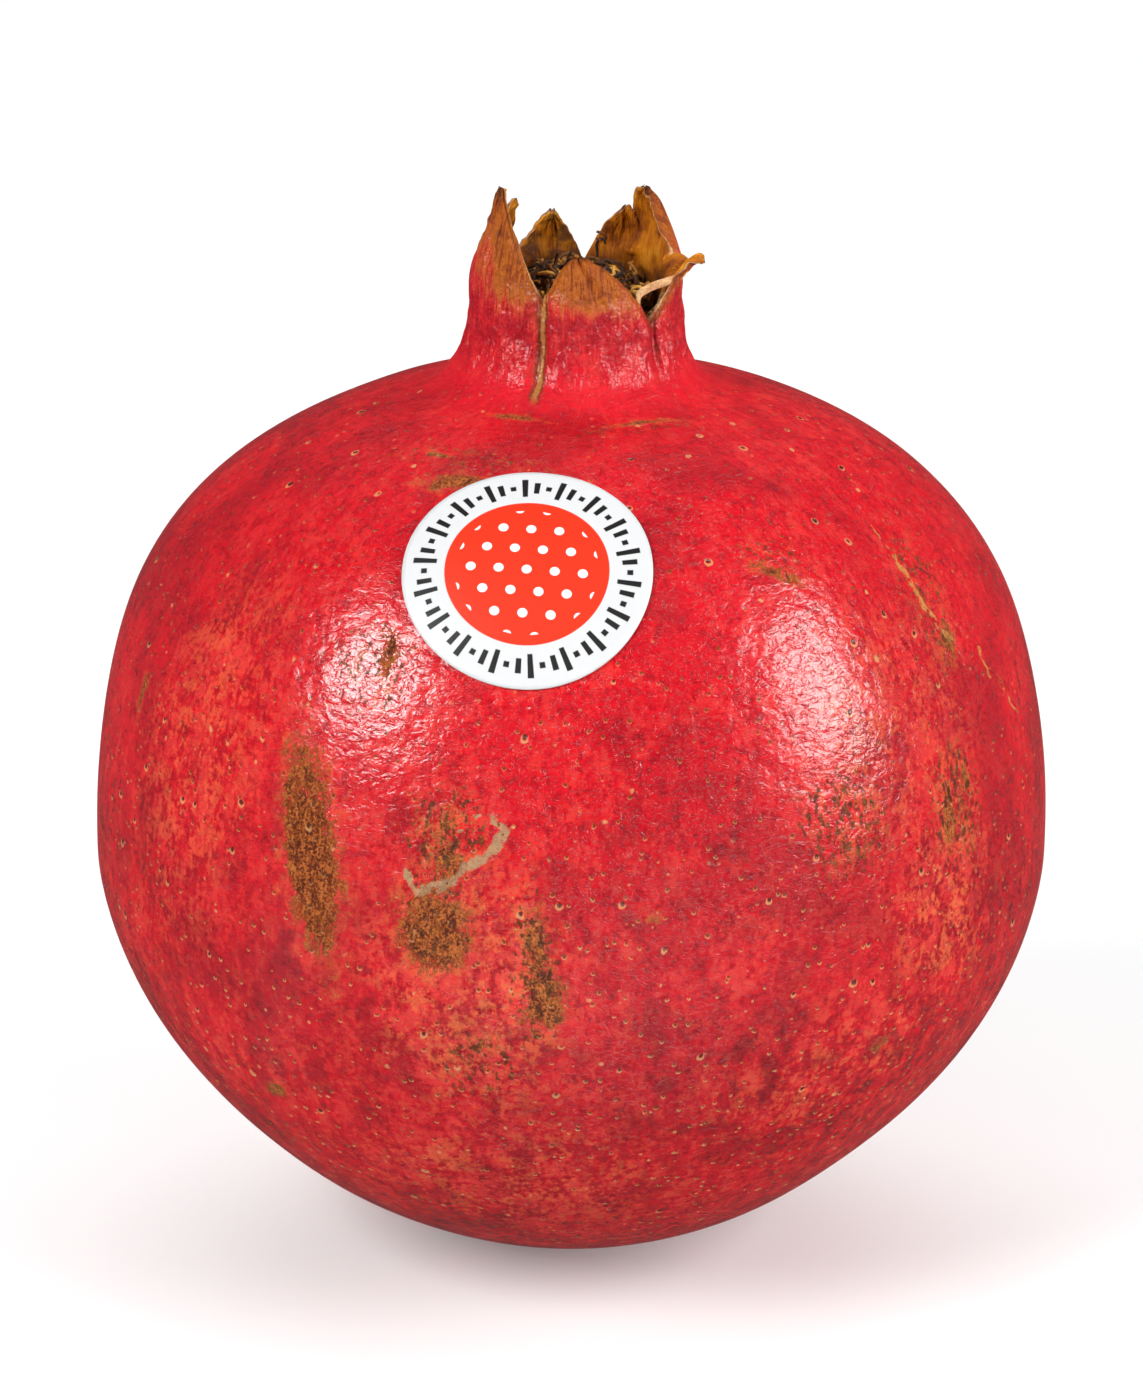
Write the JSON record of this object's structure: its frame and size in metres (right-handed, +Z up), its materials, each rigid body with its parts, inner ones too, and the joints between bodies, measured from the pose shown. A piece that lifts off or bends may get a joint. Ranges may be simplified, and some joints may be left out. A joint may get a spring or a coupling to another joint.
{
  "type": "pomegranate",
  "caption": "Ripe red pomegranate standing on its base, with a dried calyx crown, a tuft of stamens and a round paper label.",
  "frame": {"origin": "centre of the flat spot that the fruit stands on", "axes": "+Z up from the stem end to the crown, -Y towards the side with the label"},
  "size_m": [0.095, 0.0936, 0.1075],
  "materials": {
    "fruit": "waxy leathery crimson rind, drying to ochre on the crown's lobes",
    "stamens": "dry brown and golden filaments",
    "label": "coated paper, white rim round a printed orange-red field"
  },
  "bodies": {
    "root": {"fruit": "fruit", "stamens": "stamens", "label": "label"}
  },
  "joints": []
}
